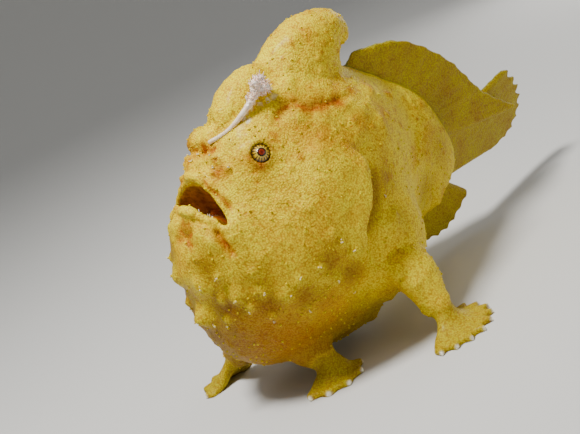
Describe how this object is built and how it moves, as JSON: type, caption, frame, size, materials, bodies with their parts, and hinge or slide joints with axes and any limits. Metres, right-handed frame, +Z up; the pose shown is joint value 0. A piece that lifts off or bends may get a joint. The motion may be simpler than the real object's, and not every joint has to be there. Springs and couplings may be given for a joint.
{
  "type": "frogfish, sitting, still model",
  "caption": "Yellow frogfish sitting on its leg-like fins with its mouth a little open and its lure folded back beside the fleshy spine on its brow.",
  "frame": {"origin": "centre of the box round the whole fish, at floor level, under the belly", "axes": "+Z up from the floor, the fish faces -Y, its left side is +X"},
  "size_m": [0.1926, 0.2628, 0.1625],
  "materials": {
    "skin": "satin",
    "eye": "gloss",
    "lure": "matte"
  },
  "bodies": {
    "root": {"head": "skin", "lower_jaw": "skin", "torso": "skin", "tail": "skin", "second_spine": "skin", "third_spine": "skin", "dorsal_fin": "skin", "caudal_fin": "skin", "anal_fin": "skin", "pectoral_arm_left": "skin", "pectoral_arm_right": "skin", "pectoral_fin_left": "skin", "pectoral_fin_right": "skin", "pelvic_leg_left": "skin", "pelvic_leg_right": "skin", "pelvic_fin_left": "skin", "pelvic_fin_right": "skin", "eye_left": "eye", "eye_right": "eye", "illicium": "lure"}
  },
  "joints": []
}
